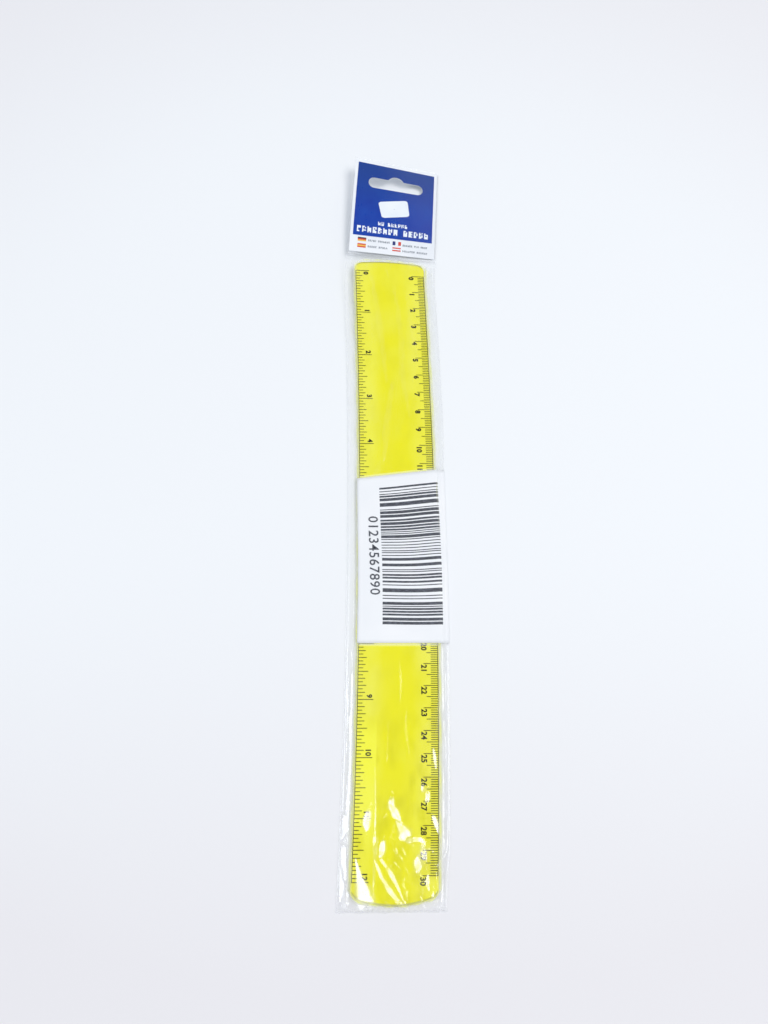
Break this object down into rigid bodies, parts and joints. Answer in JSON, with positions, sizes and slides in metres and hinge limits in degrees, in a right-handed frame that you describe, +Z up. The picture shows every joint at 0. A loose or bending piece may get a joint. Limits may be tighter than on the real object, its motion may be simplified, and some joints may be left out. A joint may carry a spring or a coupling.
{
  "type": "flexible ruler",
  "caption": "Flexible see-through ruler with metric and inch scales, loose in a clear hang bag with a folding card header and a wrapped paper label.",
  "frame": {"origin": "middle of the pack's box, on the table", "axes": "+X across the pack to the centimetre edge, +Y along it to the header, +Z up from the table"},
  "size_m": [0.0546, 0.3887, 0.011],
  "materials": {
    "yellow_vinyl": "clear yellow, glossy",
    "black_ink": "printed ink",
    "clear_film": "clear, glossy, crinkled",
    "crimped_film": "clear, crimped",
    "label_paper": "smooth white",
    "card_board": "coated white",
    "panel_blue": "printed ink"
  },
  "bodies": {
    "bag": {"bag_front_film": "clear_film", "bag_back_film": "clear_film", "left_side_weld": "clear_film", "right_side_weld": "clear_film", "bottom_weld": "clear_film", "barcode_label": "label_paper"},
    "ruler": {"ruler_blade": "yellow_vinyl", "cm_scale_print": "black_ink", "inch_scale_print": "black_ink"},
    "header": {"header_seal": "crimped_film", "header_card": "card_board", "header_panel_print": "panel_blue", "header_front_film": "clear_film", "header_back_film": "clear_film", "header_left_weld": "clear_film", "header_right_weld": "clear_film", "header_top_weld": "clear_film"}
  },
  "joints": [
    {"name": "header_fold", "type": "hinge", "parent": "bag", "child": "header", "pos_m": [-0.00072, 0.13153, 0.00268], "axis": [0.9961, -0.0522, -0.0716], "range_deg": [-120, 120]},
    {"name": "ruler_slide", "type": "slide", "parent": "bag", "child": "ruler", "axis": [0, 1, 0], "range_m": [-0.001, 0.001]}
  ]
}
